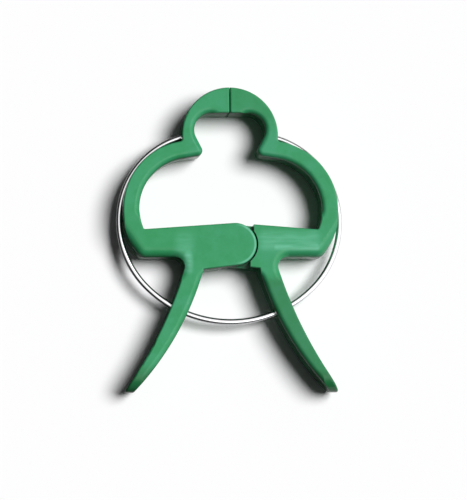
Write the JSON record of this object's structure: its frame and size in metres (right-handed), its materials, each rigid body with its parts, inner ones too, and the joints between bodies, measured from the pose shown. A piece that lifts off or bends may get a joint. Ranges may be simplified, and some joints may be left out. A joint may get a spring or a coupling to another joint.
{
  "type": "orchid clip",
  "caption": "Spring-loaded orchid clip: hinged plastic halves closed by a wire ring, with a small stake loop, a wide stem loop and squeeze levers.",
  "frame": {"origin": "under the middle of the clip's bounding box, on the flat back face that it lies on", "axes": "+X across the jaws to the right half, +Y from the finger levers to the head loop, +Z out of the front face"},
  "size_m": [0.0332, 0.0446, 0.005],
  "materials": {
    "green_plastic": "semi-gloss moulded",
    "ring_steel": "bright drawn wire"
  },
  "bodies": {
    "left_half": {"left_clip_half": "green_plastic", "spring_ring": "ring_steel"},
    "right_half": {"right_clip_half": "green_plastic"}
  },
  "joints": [
    {"name": "clip_hinge", "type": "hinge", "parent": "left_half", "child": "right_half", "pos_m": [0.0006, -0.00077, 0.0025], "axis": [0, 0, -1], "range_deg": [0, 48], "stiffness_Nm_per_rad": 0.05, "springref_deg": -22.92, "deforming": ["spring_ring"]}
  ]
}
